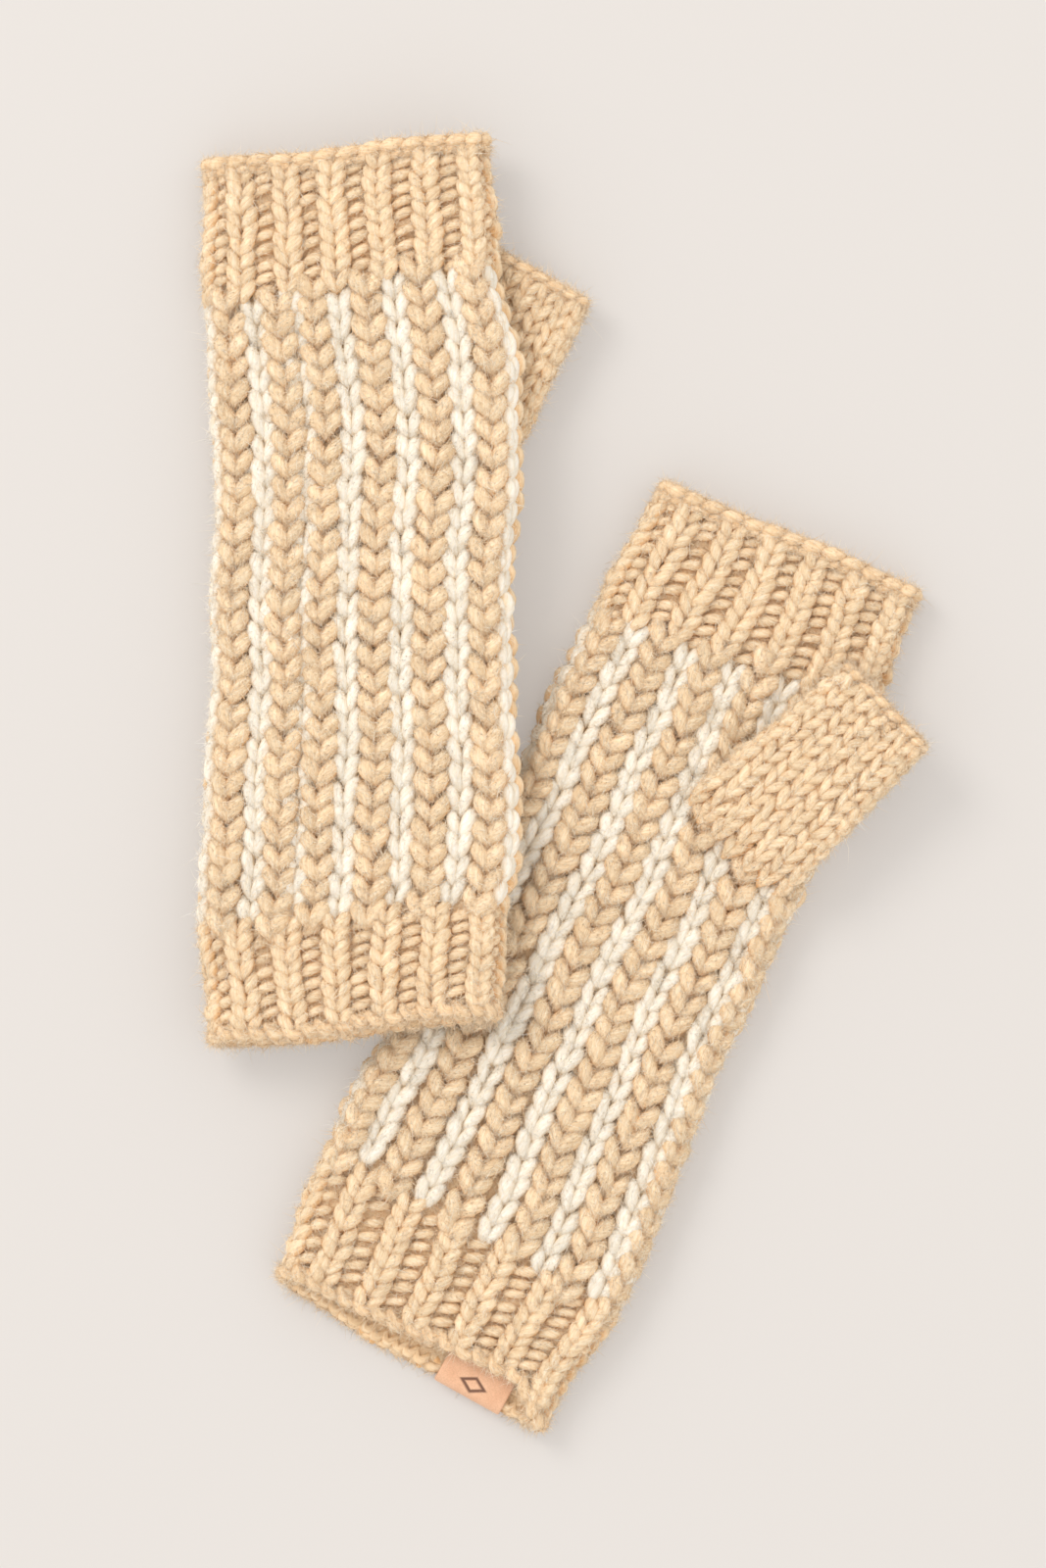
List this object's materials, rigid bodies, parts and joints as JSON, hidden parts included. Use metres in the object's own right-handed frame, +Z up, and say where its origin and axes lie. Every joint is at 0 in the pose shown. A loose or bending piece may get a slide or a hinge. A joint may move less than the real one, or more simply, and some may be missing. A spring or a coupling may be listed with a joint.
{
  "type": "fingerless gloves",
  "caption": "Pair of long knitted fingerless gloves with two-colour ridged hands, ribbed finger and wrist cuffs, open thumb tubes and a folded leather label.",
  "frame": {"origin": "centre of the pair's outline, on the surface that it lies on", "axes": "+Z up from that surface; +Y from the wrist towards the fingers of the left glove; +X to the right, towards the right glove's thumb"},
  "size_m": [0.2158, 0.3814, 0.0366],
  "materials": {
    "camel_yarn": "thick soft plied wool-blend yarn, camel, with a short fuzz",
    "cream_yarn": "thick soft plied wool-blend yarn, cream, with a short fuzz",
    "leather": "smooth tan leather with a pressed lozenge",
    "label_thread": "waxed sewing thread"
  },
  "bodies": {
    "right_hand": {"right_hand_camel_ridges": "camel_yarn", "right_hand_cream_columns": "cream_yarn", "right_thumb_join": "camel_yarn", "right_finger_rib": "camel_yarn", "right_finger_bind_off": "camel_yarn"},
    "right_wrist_cuff": {"right_wrist_rib": "camel_yarn", "right_wrist_cast_on": "camel_yarn", "right_leather_label": "leather", "right_label_stitches": "label_thread"},
    "right_thumb": {"right_thumb_tube": "camel_yarn", "right_thumb_bind_off": "camel_yarn"},
    "left_hand": {"left_hand_camel_ridges": "camel_yarn", "left_hand_cream_columns": "cream_yarn", "left_thumb_join": "camel_yarn"},
    "left_finger_cuff": {"left_finger_rib": "camel_yarn", "left_finger_bind_off": "camel_yarn"},
    "left_wrist_cuff": {"left_wrist_rib": "camel_yarn", "left_wrist_cast_on": "camel_yarn"},
    "left_thumb": {"left_thumb_tube": "camel_yarn", "left_thumb_bind_off": "camel_yarn"}
  },
  "joints": [
    {"name": "left_glove_lift", "type": "slide", "parent": "right_hand", "child": "left_hand", "axis": [0, 0, 1], "range_m": [0, 0.15]},
    {"name": "left_finger_cuff_fold", "type": "hinge", "parent": "left_hand", "child": "left_finger_cuff", "pos_m": [-0.0633, 0.14765, 0.02315], "axis": [0.9795, 0.1222, 0.16], "range_deg": [0, 165]},
    {"name": "left_wrist_cuff_fold", "type": "hinge", "parent": "left_hand", "child": "left_wrist_cuff", "pos_m": [-0.06103, -0.03763, 0.02962], "axis": [-0.9837, -0.077, -0.1622], "range_deg": [0, 165]},
    {"name": "left_thumb_swing", "type": "hinge", "parent": "left_hand", "child": "left_thumb", "pos_m": [-0.0289, 0.11162, 0.01234], "axis": [0.1651, -0.0324, -0.9857], "range_deg": [0, 35]},
    {"name": "right_wrist_cuff_fold", "type": "hinge", "parent": "right_hand", "child": "right_wrist_cuff", "pos_m": [-0.02747, -0.13067, 0.0162], "axis": [-0.8607, 0.509, 0], "range_deg": [0, 150]},
    {"name": "right_thumb_lift", "type": "hinge", "parent": "right_hand", "child": "right_thumb", "pos_m": [0.05581, -0.01421, 0.0173], "axis": [0.6833, -0.7302, 0], "range_deg": [0, 75]}
  ]
}
